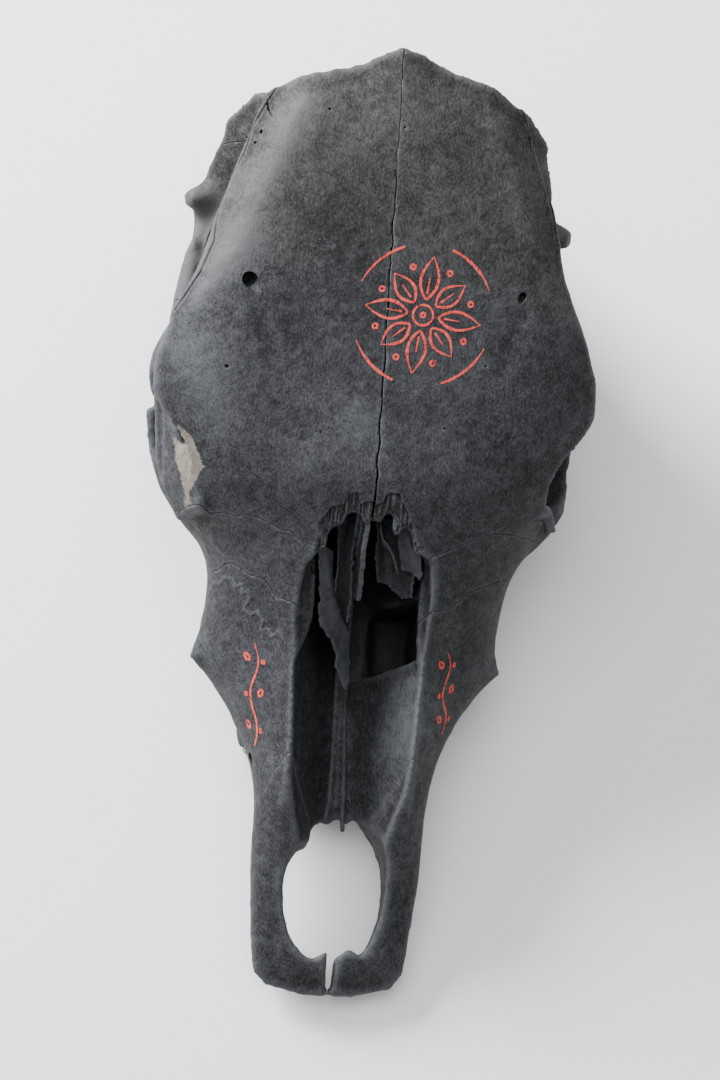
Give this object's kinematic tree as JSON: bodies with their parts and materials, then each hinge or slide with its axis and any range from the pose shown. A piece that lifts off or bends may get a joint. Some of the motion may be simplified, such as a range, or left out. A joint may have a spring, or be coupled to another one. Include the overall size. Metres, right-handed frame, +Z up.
{
  "type": "painted cow skull",
  "caption": "Life-size skull of a hornless cow without its lower jaw, painted black, with eye sockets, open nose and cheek teeth.",
  "frame": {"origin": "on the surface it lies on, under the middle of its outline", "axes": "nose towards -Y, forehead up along +Z, the animal's left at +X"},
  "size_m": [0.23, 0.465, 0.1968],
  "materials": {
    "frontal_left": "matt black paint on bone",
    "frontal_right": "matt black paint on bone",
    "lacrimal_left": "matt black paint on bone",
    "lacrimal_right": "matt black paint on bone",
    "zygomatic_left": "matt black paint on bone",
    "zygomatic_right": "matt black paint on bone",
    "maxilla_left": "matt black paint on bone and teeth",
    "maxilla_right": "matt black paint on bone and teeth",
    "incisive_left": "matt black paint on bone",
    "incisive_right": "matt black paint on bone",
    "palatine_left": "matt black paint on bone",
    "palatine_right": "matt black paint on bone",
    "temporal_left": "matt black paint on bone",
    "temporal_right": "matt black paint on bone",
    "sphenoid": "matt black paint on bone",
    "occipital": "matt black paint on bone",
    "vomer": "matt black paint on thin bone",
    "nasal_septum": "matt black paint on thin bone",
    "concha_left": "worn brownish thin bone",
    "concha_right": "worn thin bone"
  },
  "bodies": {
    "root": {"frontal_left": "frontal_left", "frontal_right": "frontal_right", "lacrimal_left": "lacrimal_left", "lacrimal_right": "lacrimal_right", "zygomatic_left": "zygomatic_left", "zygomatic_right": "zygomatic_right", "maxilla_left": "maxilla_left", "maxilla_right": "maxilla_right", "incisive_left": "incisive_left", "incisive_right": "incisive_right", "palatine_left": "palatine_left", "palatine_right": "palatine_right", "temporal_left": "temporal_left", "temporal_right": "temporal_right", "sphenoid": "sphenoid", "occipital": "occipital", "vomer": "vomer", "nasal_septum": "nasal_septum", "concha_left": "concha_left", "concha_right": "concha_right"}
  },
  "joints": []
}
